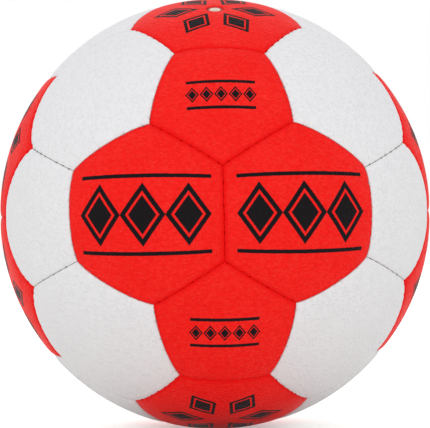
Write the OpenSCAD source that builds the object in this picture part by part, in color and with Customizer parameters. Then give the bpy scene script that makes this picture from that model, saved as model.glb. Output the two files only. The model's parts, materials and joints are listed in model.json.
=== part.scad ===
// Hand-stitched size 2 handball: 32 leather panels on cloth linings, the thread
// of their 90 seams, and a bladder with a needle valve that has a removable plug.
// Millimetres. The origin is the centre of the ball, +Z is up and -Y is the front.

/* [Ball] */
// Diameter over the middles of the hexagon panels
ball_d = 175; // [165:0.5:190]
// Where a panel corner lies between two pentagon centres (0.3333 makes all seams equally long)
corner_share = 0.3295; // [0.32:0.0005:0.34]
// How far the middle of a hexagon stands proud of the level of its corners
crown_rise = 0.5; // [0.2:0.05:1]

/* [Cover panels] */
// Thickness of the leather skin
skin_t = 1.2; // [0.8:0.05:1.6]
// Radius of a panel's rounded edge beside a seam
shoulder_r = 1.6; // [1:0.1:2.2]
// Gap between two panels in a seam
seam_gap = 0.2; // [0.1:0.05:0.5]
// Leather left between the stitch holes and the end of the turned-in edge
flange_margin = 0.7; // [0.4:0.1:2]

/* [Linings] */
// Thickness of the bonded cloth under each skin
lining_t = 1.6; // [1:0.1:2.4]
// Thickness of a glue line between two bonded layers
glue_t = 0.05; // [0.02:0.01:0.1]

/* [Seam thread] */
// Diameter of the waxed thread where it runs along a seam
thread_d = 0.8; // [0.5:0.05:1]
// Distance from one stitch to the next, evened out over each seam
stitch_pitch = 4; // [3:0.25:6]
// Room round the thread in a stitch hole
thread_gap = 0.05; // [0.02:0.01:0.1]
// Room between the thread and the lining above it
thread_room = 0.15; // [0.1:0.05:0.5]

/* [Bladder] */
// Wall of the bladder
bladder_t = 0.8; // [0.5:0.05:1.5]
// Room between the bladder and the turned-in edges round it
bladder_gap = 0.3; // [0.1:0.05:0.6]

/* [Valve] */
// Wall of the rubber neck round the plug's head
neck_wall = 0.85; // [0.5:0.05:2]
// Room between the neck and the hole in the valve panel
neck_gap = 0.3; // [0.1:0.05:1]
// How far the neck's face lies below the leather round it
mouth_drop = 0.4; // [0.2:0.1:1]
// Wall of the stem round the plug's body, inside the bladder
stem_wall = 2.65; // [1:0.05:4]
// How far the stem reaches below the outside of the bladder
stem_l = 14; // [12:0.5:20]
// Wall that closes the stem's inner end round the air hole
stem_end_t = 1.5; // [1:0.1:2.5]
// Diameter of the flange that is bonded to the bladder
valve_flange_d = 26; // [18:0.5:32]
// Diameter of the reinforcing patch under the lining
patch_d = 34; // [27:0.5:40]
// Thickness of the reinforcing patch
patch_t = 0.6; // [0.4:0.05:1]

/* [Valve plug] */
// Diameter of the plug's head
plug_head_d = 4.6; // [4.2:0.1:6]
// Length of the plug's head
plug_head_l = 5; // [3:0.25:8]
// Diameter of the plug's body
plug_d = 3.6; // [3:0.1:3.8]
// Running clearance of the plug all round in its bore
plug_gap = 0.05; // [0.02:0.01:0.09]
// Diameter of the channel for the pump needle
needle_d = 2; // [1.6:0.1:2.4]
// Length of the needle channel below its funnel
needle_l = 12; // [8:0.5:14]
// Diameter of the funnel that leads the needle in
funnel_d = 3; // [2.6:0.1:3.4]
// Depth of that funnel
funnel_l = 0.8; // [0.4:0.1:1.5]

/* [Hidden] */
ball_r = ball_d / 2;
phi = (1 + sqrt(5)) / 2;
over = 1;
round_fn = 96;
arc_fn = 48;
small_fn = 24;

SIDES = [1, -1];
// Pentagon centres are the corners of an icosahedron
PENTAGONS = [
    for (y = SIDES) for (z = SIDES) unit([0, y * phi, z]),
    for (x = SIDES) for (z = SIDES) unit([x, 0, z * phi]),
    for (x = SIDES) for (y = SIDES) unit([x * phi, y, 0]),
];

// Name, axis and whether the panel is a red one
HEXAGON_PANELS = [
    ["front_left_hexagon", [-1 / phi, -phi, 0], true],
    ["front_right_hexagon", [1 / phi, -phi, 0], true],
    ["back_left_hexagon", [-1 / phi, phi, 0], true],
    ["back_right_hexagon", [1 / phi, phi, 0], true],
    ["top_front_hexagon", [0, -1 / phi, phi], true],
    ["top_back_hexagon", [0, 1 / phi, phi], true],
    ["bottom_front_hexagon", [0, -1 / phi, -phi], true],
    ["bottom_back_hexagon", [0, 1 / phi, -phi], true],
    ["left_upper_hexagon", [-phi, 0, 1 / phi], true],
    ["left_lower_hexagon", [-phi, 0, -1 / phi], true],
    ["right_upper_hexagon", [phi, 0, 1 / phi], true],
    ["right_lower_hexagon", [phi, 0, -1 / phi], true],
    ["upper_front_left_hexagon", [-1, -1, 1], false],
    ["upper_front_right_hexagon", [1, -1, 1], false],
    ["upper_back_left_hexagon", [-1, 1, 1], false],
    ["upper_back_right_hexagon", [1, 1, 1], false],
    ["lower_front_left_hexagon", [-1, -1, -1], false],
    ["lower_front_right_hexagon", [1, -1, -1], false],
    ["lower_back_left_hexagon", [-1, 1, -1], false],
    ["lower_back_right_hexagon", [1, 1, -1], false],
];
PENTAGON_PANELS = [
    ["front_upper_pentagon", [0, -phi, 1], true],
    ["front_lower_pentagon", [0, -phi, -1], true],
    ["back_upper_pentagon", [0, phi, 1], true],
    ["back_lower_pentagon", [0, phi, -1], true],
    ["left_front_pentagon", [-phi, -1, 0], false],
    ["left_back_pentagon", [-phi, 1, 0], false],
    ["right_front_pentagon", [phi, -1, 0], false],
    ["right_back_pentagon", [phi, 1, 0], false],
    ["top_left_pentagon", [-1, 0, phi], false],
    ["top_right_pentagon", [1, 0, phi], false],
    ["bottom_left_pentagon", [-1, 0, -phi], false],
    ["bottom_right_pentagon", [1, 0, -phi], false],
];
PANELS = concat(HEXAGON_PANELS, PENTAGON_PANELS);
valve_panel = "top_front_hexagon";

// Angles between neighbouring centres, measured on the icosahedron
pentagon_step = acos(1 / sqrt(5));
pentagon_turn = 360 / 5;
pentagon_corner_angle = 180 - pentagon_turn;
hexagon_corner_angle = angle_between(unit([1, 1, 1]), corner(unit([0, phi, 1]), unit([1, 0, phi])));

// The outer face of a panel is a sphere about crown_centre along the panel's axis
corner_r = ball_r - crown_rise;
crown_centre = (ball_r * ball_r - corner_r * corner_r) / (2 * (ball_r - corner_r * cos(hexagon_corner_angle)));
crown_r = ball_r - crown_centre;
// A shoulder's arc rises a little past the crown, so that the two faces cross
shoulder_lift_share = 0.06;
shoulder_lift = shoulder_lift_share * shoulder_r;
lining_r = crown_r - skin_t - glue_t;
lining_inner_r = lining_r - lining_t;

// The stitches run just under the lining, and the turned-in edge ends below them
cross_share = 0.7;
flat_back_share = 0.125;
cross_d = thread_d * cross_share;
flat_back = thread_d * flat_back_share;
stitch_hole_d = cross_d + 2 * thread_gap;
stitch_r = corner_r - skin_t - glue_t - lining_t - thread_room - thread_d / 2;
rail_offset = seam_gap / 2 + skin_t + thread_gap + thread_d / 2;
seam_end_room = (rail_offset + thread_d / 2) / tan(pentagon_corner_angle / 2) + thread_d;
tip_r = stitch_r - stitch_hole_d / 2 - flange_margin;

bladder_r = tip_r - bladder_gap;
stem_bottom = bladder_r - stem_l;
patch_r = lining_inner_r - glue_t;
mouth_z = ball_r - mouth_drop;
head_bore_d = plug_head_d + 2 * plug_gap;
bore_d = plug_d + 2 * plug_gap;
neck_d = head_bore_d + 2 * neck_wall;
mouth_hole_d = neck_d + 2 * neck_gap;
stem_d = bore_d + 2 * stem_wall;
plug_bottom = stem_bottom + stem_end_t + plug_gap;
plug_step = mouth_z - plug_head_l;

function unit(v) = v / norm(v);
function angle_between(a, b) = acos(a * b);
// Corner beside pentagon a on the line to its neighbour b
function corner(a, b) = unit(a * (1 - corner_share) + b * corner_share);
function turned(v, axis, angle) =
    v * cos(angle) + cross(axis, v) * sin(angle) + axis * (axis * v) * (1 - cos(angle));
function pentagons_beside(axis, angle) = [for (p = PENTAGONS) if (abs(angle_between(axis, p) - angle) < 1) p];
function pentagon_corners(axis) =
    let (first = corner(axis, pentagons_beside(axis, pentagon_step)[0]))
    [for (k = [0:4]) turned(first, axis, pentagon_turn * k)];
function hexagon_corners(axis) =
    let (near = pentagons_beside(axis, angle_between(unit([1, 1, 1]), unit([0, phi, 1]))))
    let (ahead = axis * cross(near[0], near[1]) > 0 ? near[1] : near[2])
    let (pair = [corner(near[0], ahead), corner(ahead, near[0])])
    [for (k = [0:2]) for (c = pair) turned(c, axis, 360 / 3 * k)];
function corners_of(panel) =
    let (axis = unit(panel[1]))
    len(pentagons_beside(axis, 0)) > 0 ? pentagon_corners(axis) : hexagon_corners(axis);
function seams_of(panel) =
    let (c = corners_of(panel))
    [for (k = [0:len(c) - 1]) [c[k], c[(k + 1) % len(c)]]];
function crown_height(angle) =
    crown_centre * cos(angle) + sqrt(pow(crown_r, 2) - pow(crown_centre * sin(angle), 2));
// Angles of the stitches about the middle of a seam, evenly spread between its end rooms
function stitch_angles(seam) =
    let (half = angle_between(seam[0], seam[1]) / 2 - seam_end_room / stitch_r * 180 / PI)
    let (count = max(2, round(2 * half * PI / 180 * stitch_r / stitch_pitch) + 1))
    [for (k = [0:count - 1]) half * (2 * k / (count - 1) - 1)];

// Turns +Z to the given axis
module along(axis) {
    angle = angle_between([0, 0, 1], axis);
    turn = abs(sin(angle)) < 1e-9 ? [1, 0, 0] : cross([0, 0, 1], axis);
    rotate(a = angle, v = turn) children();
}

// Local +Z is the seam plane's normal, into the panel on its left; +X is the middle of the seam
module at_seam(seam) {
    x = unit(seam[0] + seam[1]);
    z = unit(cross(seam[0], seam[1]));
    y = cross(z, x);
    multmatrix([
        [x[0], y[0], z[0], 0],
        [x[1], y[1], z[1], 0],
        [x[2], y[2], z[2], 0],
        [0, 0, 0, 1],
    ]) children();
}

// What the rounded shoulder takes off a panel's edge along one seam
module shoulder_cutter(axis, seam) {
    height = crown_height(angle_between(axis, unit(seam[0] + seam[1]))) + shoulder_lift;
    arc_y = seam_gap / 2 + shoulder_r - shoulder_lift;
    arc_x = sqrt(pow(height - shoulder_r, 2) - pow(arc_y, 2));
    half = angle_between(seam[0], seam[1]) / 2 + (shoulder_r + over) / ball_r * 180 / PI;
    at_seam(seam) rotate([0, 0, -half]) rotate_extrude(angle = 2 * half, $fn = round_fn) difference() {
        translate([arc_x, -over]) square([shoulder_r + over, over + arc_y]);
        translate([arc_x, arc_y]) circle(r = shoulder_r, $fn = arc_fn);
    }
}

// Half-space on the panel's side of a seam, at a distance from the seam's plane
module inside_seam(seam, distance) {
    reach = 2 * ball_r;
    at_seam(seam) translate([-reach, -reach, distance]) cube([2 * reach, 2 * reach, reach]);
}

module inside_all(panel, distance) {
    intersection_for (seam = seams_of(panel)) inside_seam(seam, distance);
}

module stitch_holes(seam) {
    at_seam(seam) for (angle = stitch_angles(seam))
        rotate([0, 0, angle]) translate([stitch_r, 0, 0])
            cylinder(d = stitch_hole_d, h = seam_gap + skin_t + over, $fn = small_fn);
}

module valve_hole(panel, diameter) {
    if (panel[0] == valve_panel) along(unit(panel[1])) cylinder(d = diameter, h = ball_r + over, $fn = arc_fn);
}

// Leather skin: crowned face, rounded shoulders and an edge turned in along each seam
module skin(panel) {
    axis = unit(panel[1]);
    color(panel[2] ? "orangered" : "whitesmoke") difference() {
        intersection() {
            translate(axis * crown_centre) sphere(r = crown_r, $fn = round_fn);
            inside_all(panel, seam_gap / 2);
        }
        intersection() {
            translate(axis * crown_centre) sphere(r = crown_r - skin_t, $fn = round_fn);
            inside_all(panel, seam_gap / 2 + skin_t);
        }
        sphere(r = tip_r, $fn = round_fn);
        for (seam = seams_of(panel)) {
            shoulder_cutter(axis, seam);
            stitch_holes(seam);
        }
        valve_hole(panel, mouth_hole_d);
    }
}

// Cloth layers bonded under a skin, between its turned-in edges
module lining(panel) {
    axis = unit(panel[1]);
    color("wheat") difference() {
        intersection() {
            translate(axis * crown_centre) sphere(r = lining_r, $fn = round_fn);
            inside_all(panel, seam_gap / 2 + skin_t + glue_t);
        }
        translate(axis * crown_centre) sphere(r = lining_inner_r, $fn = round_fn);
        valve_hole(panel, mouth_hole_d);
    }
}

// Section of a run: round, with a flat where it is pulled against the leather
module run_section(side) {
    translate([stitch_r, 0]) intersection() {
        circle(d = thread_d, $fn = small_fn);
        translate([-thread_d, side > 0 ? -flat_back : -thread_d]) square([2 * thread_d, thread_d + flat_back]);
    }
}

// One seam's thread: a run along each turned-in edge and the crossings between them
module seam_thread(seam) {
    angles = stitch_angles(seam);
    end = thread_d / 2 / stitch_r * 180 / PI;
    first = angles[0] - end;
    sweep = angles[len(angles) - 1] + end - first;
    color("ivory") at_seam(seam) {
        for (side = SIDES) translate([0, 0, side * rail_offset])
            rotate([0, 0, first]) rotate_extrude(angle = sweep, $fn = round_fn)
                run_section(side);
        for (angle = angles) rotate([0, 0, angle])
            translate([stitch_r, 0, -rail_offset]) cylinder(d = cross_d, h = 2 * rail_offset, $fn = small_fn);
    }
}

module hexagon_seam_threads() {
    for (i = [0:len(PENTAGONS) - 1]) for (j = [i + 1:1:len(PENTAGONS) - 1])
        if (abs(angle_between(PENTAGONS[i], PENTAGONS[j]) - pentagon_step) < 1)
            seam_thread([corner(PENTAGONS[i], PENTAGONS[j]), corner(PENTAGONS[j], PENTAGONS[i])]);
}

module pentagon_seam_threads() {
    for (panel = PENTAGON_PANELS) for (seam = seams_of(panel)) seam_thread(seam);
}

module at_valve() {
    along(unit([for (p = PANELS) if (p[0] == valve_panel) p[1]][0])) children();
}

module bladder() {
    color("dimgray") difference() {
        sphere(r = bladder_r, $fn = round_fn);
        sphere(r = bladder_r - bladder_t, $fn = round_fn);
        at_valve() cylinder(d = stem_d + 2 * glue_t, h = ball_r, $fn = arc_fn);
    }
}

// Ring between two spheres about the crown's centre or the ball's, drawn as a half section
module ring_section(inner_d, outer_d) {
    intersection() {
        children();
        translate([inner_d / 2, 0]) square([(outer_d - inner_d) / 2, ball_r]);
    }
}

module valve_patch() {
    color("tan") at_valve() rotate_extrude($fn = round_fn) ring_section(mouth_hole_d, patch_d) difference() {
        translate([0, crown_centre]) circle(r = patch_r, $fn = round_fn);
        translate([0, crown_centre]) circle(r = patch_r - patch_t, $fn = round_fn);
    }
}

// Rubber body: flange on the bladder, neck through the cover and stem inside the bladder
module valve_body() {
    color("firebrick") at_valve() difference() {
        rotate_extrude($fn = round_fn) {
            ring_section(0, valve_flange_d) difference() {
                translate([0, crown_centre]) circle(r = patch_r - patch_t - glue_t, $fn = round_fn);
                circle(r = bladder_r + glue_t, $fn = round_fn);
            }
            translate([0, stem_bottom + stem_l]) square([neck_d / 2, mouth_z - stem_bottom - stem_l]);
            translate([0, stem_bottom]) square([stem_d / 2, stem_l + glue_t]);
        }
        translate([0, 0, plug_step - plug_gap]) cylinder(d = head_bore_d, h = plug_head_l + over, $fn = arc_fn);
        translate([0, 0, stem_bottom + stem_end_t]) cylinder(d = bore_d, h = mouth_z, $fn = arc_fn);
        translate([0, 0, stem_bottom - over]) cylinder(d = needle_d, h = mouth_z, $fn = arc_fn);
    }
}

// Rubber plug that seals on the needle and pulls straight out of the valve
module valve_plug() {
    color("ivory") at_valve() difference() {
        union() {
            translate([0, 0, plug_bottom]) cylinder(d = plug_d, h = mouth_z - plug_bottom, $fn = arc_fn);
            translate([0, 0, plug_step]) cylinder(d = plug_head_d, h = plug_head_l, $fn = arc_fn);
        }
        translate([0, 0, mouth_z - funnel_l - needle_l]) cylinder(d = needle_d, h = mouth_z, $fn = arc_fn);
        translate([0, 0, mouth_z - funnel_l]) cylinder(d1 = needle_d, d2 = funnel_d, h = funnel_l, $fn = arc_fn);
        translate([0, 0, mouth_z]) cylinder(d = funnel_d, h = over, $fn = arc_fn);
    }
}

for (panel = PANELS) skin(panel);
for (panel = HEXAGON_PANELS) lining(panel);  // hexagon_linings
for (panel = PENTAGON_PANELS) lining(panel);  // pentagon_linings
hexagon_seam_threads();
pentagon_seam_threads();
bladder();
valve_patch();
valve_body();
valve_plug();
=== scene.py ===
"""Looks of a hand-stitched handball: 32 grained leather panels round a bladder with a needle valve.

Everything is in metres in the frame's own axes, with +Z up and -Y to the front.
"""

import itertools
import json
import logging
import math
from dataclasses import dataclass, field, replace
from enum import Enum

import bpy
import numpy as np
from mathutils import Matrix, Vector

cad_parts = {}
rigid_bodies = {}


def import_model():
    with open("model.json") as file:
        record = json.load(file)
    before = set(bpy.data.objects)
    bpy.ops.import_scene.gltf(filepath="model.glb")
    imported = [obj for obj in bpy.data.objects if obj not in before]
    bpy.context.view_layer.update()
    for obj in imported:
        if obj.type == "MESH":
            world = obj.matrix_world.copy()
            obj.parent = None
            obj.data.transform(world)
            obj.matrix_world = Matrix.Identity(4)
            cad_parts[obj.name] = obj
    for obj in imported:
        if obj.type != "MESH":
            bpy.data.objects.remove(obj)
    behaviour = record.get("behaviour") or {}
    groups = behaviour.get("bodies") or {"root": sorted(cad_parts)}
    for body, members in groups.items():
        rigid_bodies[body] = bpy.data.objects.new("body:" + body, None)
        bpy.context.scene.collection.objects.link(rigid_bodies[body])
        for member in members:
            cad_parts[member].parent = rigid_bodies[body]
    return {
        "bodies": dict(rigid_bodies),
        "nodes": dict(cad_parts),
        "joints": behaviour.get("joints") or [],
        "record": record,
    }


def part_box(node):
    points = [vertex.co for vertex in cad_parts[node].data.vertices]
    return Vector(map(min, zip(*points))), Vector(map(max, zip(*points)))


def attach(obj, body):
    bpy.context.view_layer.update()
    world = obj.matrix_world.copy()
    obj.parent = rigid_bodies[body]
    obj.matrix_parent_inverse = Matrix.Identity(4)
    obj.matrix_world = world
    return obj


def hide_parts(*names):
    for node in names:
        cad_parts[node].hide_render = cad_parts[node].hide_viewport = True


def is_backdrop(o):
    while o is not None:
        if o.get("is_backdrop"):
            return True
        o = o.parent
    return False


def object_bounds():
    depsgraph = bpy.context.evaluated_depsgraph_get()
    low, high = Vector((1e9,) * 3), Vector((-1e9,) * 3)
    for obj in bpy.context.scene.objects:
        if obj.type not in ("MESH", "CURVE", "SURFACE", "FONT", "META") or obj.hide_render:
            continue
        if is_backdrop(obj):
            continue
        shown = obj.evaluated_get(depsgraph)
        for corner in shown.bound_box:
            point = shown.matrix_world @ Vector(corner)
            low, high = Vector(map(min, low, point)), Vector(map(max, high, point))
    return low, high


LOG = logging.getLogger("handball")
MM = 0.001
PHI = (1 + math.sqrt(5)) / 2
UP = np.array([0.0, 0.0, 1.0])
FRONT = np.array([0.0, -1.0, 0.0])
UV_SPAN = 100 * MM

Color = tuple[float, float, float]
Span = tuple[float, float]


class Leather(Enum):
    """The two leathers, by the record's material slots."""

    RED = "red_leather"
    WHITE = "white_leather"


class Motif(Enum):
    """What is printed in black on a panel."""

    PLAIN = "plain"
    LOZENGE_ROW = "lozenge_row"
    LOZENGE_STAR = "lozenge_star"
    LOZENGE_BAND = "lozenge_band"


def unit(v: np.ndarray) -> np.ndarray:
    """Scale vectors to length one along the last axis."""
    return v / np.linalg.norm(v, axis=-1, keepdims=True)


def bell(x: np.ndarray) -> np.ndarray:
    """Bell curve of height one: e to the minus x squared."""
    return np.exp(-(x**2))


@dataclass(frozen=True)
class Lattice:
    """Directions of the panels' middles and of the corners where three panels meet.

    Two pentagons are neighbours where the cosine between them is over least_cosine.
    """

    corner_share: float = 0.3295
    least_cosine: float = 0.4

    def pentagons(self) -> np.ndarray:
        """Corners of an icosahedron: the even turns of (0, phi, 1) with every choice of signs."""
        base = np.array([(0, a * PHI, b) for a in (1, -1) for b in (1, -1)])
        return unit(np.concatenate([np.roll(base, k, axis=1) for k in range(3)]))

    def _near(self, p: np.ndarray) -> np.ndarray:
        """Tell which two of the pentagons p are neighbours, or one and the same."""
        return p @ p.T > self.least_cosine

    def hexagons(self) -> np.ndarray:
        """Middles of the icosahedron's faces: the sum of three corners that all neighbour each other.

        Returns:
            Twenty unit vectors.
        """
        p = self.pentagons()
        near = self._near(p)
        faces = [f for f in itertools.combinations(range(len(p)), 3) if near[np.ix_(f, f)].all()]
        return unit(p[np.array(faces)].sum(axis=1))

    def corners(self) -> np.ndarray:
        """Points at a share of the way along each icosahedron edge, taken from both of its ends.

        Returns:
            Sixty unit vectors.
        """
        p = self.pentagons()
        a, b = np.nonzero(self._near(p) & ~np.eye(len(p), dtype=bool))
        return unit(p[a] * (1 - self.corner_share) + p[b] * self.corner_share)


@dataclass(frozen=True)
class Drift:
    """How far the corner between three panels slipped in stitching, in mm as seen from outside."""

    panels: tuple[str, str, str]
    right: float
    up: float


HAND_STITCHED = (
    Drift(("front_left_hexagon", "front_right_hexagon", "front_upper_pentagon"), -0.2, 0.6),
    Drift(("front_left_hexagon", "front_right_hexagon", "front_lower_pentagon"), 0.0, -0.5),
    Drift(("front_left_hexagon", "upper_front_left_hexagon", "left_front_pentagon"), -1.1, 0.3),
    Drift(("front_left_hexagon", "lower_front_left_hexagon", "left_front_pentagon"), 0.2, -0.5),
    Drift(("front_right_hexagon", "upper_front_right_hexagon", "right_front_pentagon"), -0.6, 0.0),
    Drift(("front_right_hexagon", "lower_front_right_hexagon", "right_front_pentagon"), -0.3, -0.5),
    Drift(("front_lower_pentagon", "lower_front_left_hexagon", "front_left_hexagon"), 0.6, 0.2),
    Drift(("front_upper_pentagon", "upper_front_right_hexagon", "top_front_hexagon"), 0.7, -0.7),
    Drift(("front_lower_pentagon", "lower_front_right_hexagon", "bottom_front_hexagon"), 1.2, -0.4),
    Drift(("left_upper_hexagon", "upper_front_left_hexagon", "left_front_pentagon"), 1.2, -0.7),
    Drift(("right_upper_hexagon", "upper_front_right_hexagon", "right_front_pentagon"), -0.2, -0.6),
    Drift(("right_lower_hexagon", "lower_front_right_hexagon", "right_front_pentagon"), -0.8, 0.1),
    Drift(("top_front_hexagon", "upper_front_left_hexagon", "top_left_pentagon"), 1.7, 0.2),
    Drift(("bottom_front_hexagon", "lower_front_left_hexagon", "bottom_left_pentagon"), 1.0, -0.3),
    Drift(("bottom_front_hexagon", "lower_front_right_hexagon", "bottom_right_pentagon"), 1.0, -1.1),
)


@dataclass(frozen=True)
class Side:
    """One side of a panel: how its seam bows out, and its stitches.

    at gives the stitches' places along the side from 0 to 1, force how hard each one pulls the
    seam in, and sway how far it draws the seam away from the panel.
    """

    bow: float
    at: np.ndarray
    force: np.ndarray
    sway: np.ndarray


@dataclass(frozen=True)
class Panel:
    """One cover panel.

    corners go round counter-clockwise, as seen from outside, and side k runs from corner k to the
    next one.
    """

    name: str
    axis: np.ndarray
    corners: np.ndarray
    leather: Leather
    motif: Motif
    sides: list[Side]

    @property
    def across(self) -> np.ndarray:
        """Direction to the right on the panel, as seen from outside."""
        return np.cross(self.upward, self.axis)

    @property
    def upward(self) -> np.ndarray:
        """Direction up the panel: the vertical with its part along the axis taken off."""
        return unit(UP - self.axis * (UP @ self.axis))


@dataclass(frozen=True)
class CoverPlan:
    """Reads the panels from the frame and works out how their shared seams run.

    The red panels in front are stitched a little full, so their outlines bow outwards, and those at
    the sides a little tight. Both panels of a seam draw the same random numbers for its stitches, and
    alike_share is how much of their sway is left between two panels of one colour.
    """

    lattice: Lattice = field(default_factory=Lattice)
    corner_r: float = 87 * MM
    front_bow: float = 0.8 * MM
    side_bow: float = -2.9 * MM
    end_bow: float = 0.3 * MM
    stitch_r: float = 83.6 * MM
    stitch_pitch: float = 4.0 * MM
    seam_end_room: float = 2.36 * MM
    red_force: float = 0.5
    force_range: Span = (0.25, 1.4)
    stray: float = 0.5 * MM
    sway: float = 0.30 * MM
    sway_power: int = 3
    alike_share: float = 0.5
    front_cosine: float = 0.9
    drifts: tuple[Drift, ...] = HAND_STITCHED

    def panels(self, frame: dict) -> list[Panel]:
        """Make the list of panels.

        Args:
        Returns:
            One Panel for each hexagon and pentagon node.
        """
        axes = np.concatenate([self.lattice.hexagons(), self.lattice.pentagons()])
        slots = {s["node"]: s["material_slot"] for s in frame["record"]["subparts"]}
        names = sorted(n for n in frame["nodes"] if n.endswith(("_hexagon", "_pentagon")))
        middles = unit(np.array([np.array(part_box(n)[0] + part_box(n)[1]) for n in names]))
        axes = axes[np.argmax(middles @ axes.T, axis=1)]
        red = np.array([slots[n] == Leather.RED.value for n in names])
        corners = self._corners(names, axes)
        return [self._panel(k, names, axes, red, corners) for k in range(len(names))]

    def _corners(self, names: list[str], axes: np.ndarray) -> np.ndarray:
        """Work out the corners with their drifts: each goes right and up along the surface.

        Args:
            names: the panels' nodes.
            axes: the directions of their middles.
        Returns:
            Unit vectors, one for each corner of the lattice.
        """
        points = self.lattice.corners()
        for drift in self.drifts:
            k = int(np.argmax(points @ axes[[names.index(n) for n in drift.panels]].sum(axis=0)))
            upward = unit(UP - points[k] * points[k][2])
            right = np.cross(upward, points[k])
            moved = (right * drift.right + upward * drift.up) * (MM / self.corner_r)
            points[k] = unit(points[k] + moved)
        return points

    def _panel(self, k: int, names: list[str], axes: np.ndarray, red: np.ndarray,
               points: np.ndarray) -> Panel:
        """Gather one panel's corners, its sides and its print.

        Args:
            k: number of the panel.
            names: the panels' nodes.
            axes: the directions of their middles.
            red: which of them are red.
            points: all corners.
        Returns:
            The panel.
        """
        axis = axes[k]
        five = names[k].endswith("_pentagon")
        own = np.argsort(-(points @ axis))[: 5 if five else 6]
        upward = unit(UP - axis * (UP @ axis))
        own = own[np.argsort(np.arctan2(points[own] @ upward, points[own] @ np.cross(upward, axis)))]
        sides = []
        for i, j in zip(own, np.roll(own, -1)):
            closeness = axes @ unit(points[i] + points[j])
            closeness[k] = -1
            beside = int(np.argmax(closeness))
            bow = self._bow(names, red, k, beside) - self._bow(names, red, beside, k)
            lean = int(red[k]) - int(red[beside])
            strength = self.red_force if red[k] and red[beside] else 1.0
            sides.append(self._side(int(i), int(j), bow, lean, strength, float(points[i] @ points[j])))
        leather = Leather.RED if red[k] else Leather.WHITE
        return Panel(names[k], axis, points[own], leather, self._motif(leather, axis, five), sides)

    def _motif(self, leather: Leather, axis: np.ndarray, five: bool) -> Motif:
        """Choose a panel's print: none on white, and on red by its outline and the way it faces.

        Args:
            leather: the panel's leather.
            axis: direction of its middle.
            five: whether it is a pentagon.
        Returns:
            The print.
        """
        if leather is Leather.WHITE:
            return Motif.PLAIN
        if five:
            return Motif.LOZENGE_BAND
        return Motif.LOZENGE_ROW if abs(axis @ FRONT) > self.front_cosine else Motif.LOZENGE_STAR

    def _bow(self, names: list[str], red: np.ndarray, k: int, beside: int) -> float:
        """Say how far panel k bulges over the straight seam that it shares with the one beside it.

        Args:
            names: the panels' nodes.
            red: which of them are red.
            k: number of the panel.
            beside: number of the one beside it.
        Returns:
            The bulge at the middle of the seam, less than nought where the panel is drawn in.
        """
        if not red[k]:
            return 0.0
        outward = names[k].split("_")[0]
        if outward in ("left", "right"):
            return 0.0 if red[beside] else self.side_bow
        if outward in ("top", "bottom"):
            return 0.0
        if not red[beside]:
            return self.front_bow
        return self.end_bow if names[beside].startswith(("top", "bottom")) else 0.0

    def _side(self, i: int, j: int, bow: float, lean: int, strength: float, cosine: float) -> Side:
        """Lay out one side's stitches, alike for both panels of the seam.

        Args:
            i: number of the corner where the side starts.
            j: number of the corner where it ends.
            bow: how far the seam's middle bulges outwards.
            lean: 1 where the seam is drawn away from the panel, -1 towards it, 0 for either way.
            strength: how hard the stitches pull.
            cosine: of the angle between the two corners.
        Returns:
            The side.
        """
        rng = np.random.default_rng([min(i, j), max(i, j)])
        whole = math.acos(cosine)
        half = whole / 2 - self.seam_end_room / self.stitch_r
        count = max(2, round(2 * half * self.stitch_r / self.stitch_pitch) + 1)
        stray = rng.normal(0, self.stray, count) / self.corner_r
        at = 0.5 + (half * np.linspace(-1, 1, count) + stray) / whole
        force = strength * rng.uniform(*self.force_range, count)
        sway = self.sway * rng.uniform(0.0, 1.0, count) ** self.sway_power
        either = self.sway * rng.uniform(-self.alike_share, self.alike_share, count)
        turned = i > j
        if lean:
            sway = sway * lean
        else:
            sway = -either if turned else either
        return Side(bow, 1 - at if turned else at, force, sway)


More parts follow.
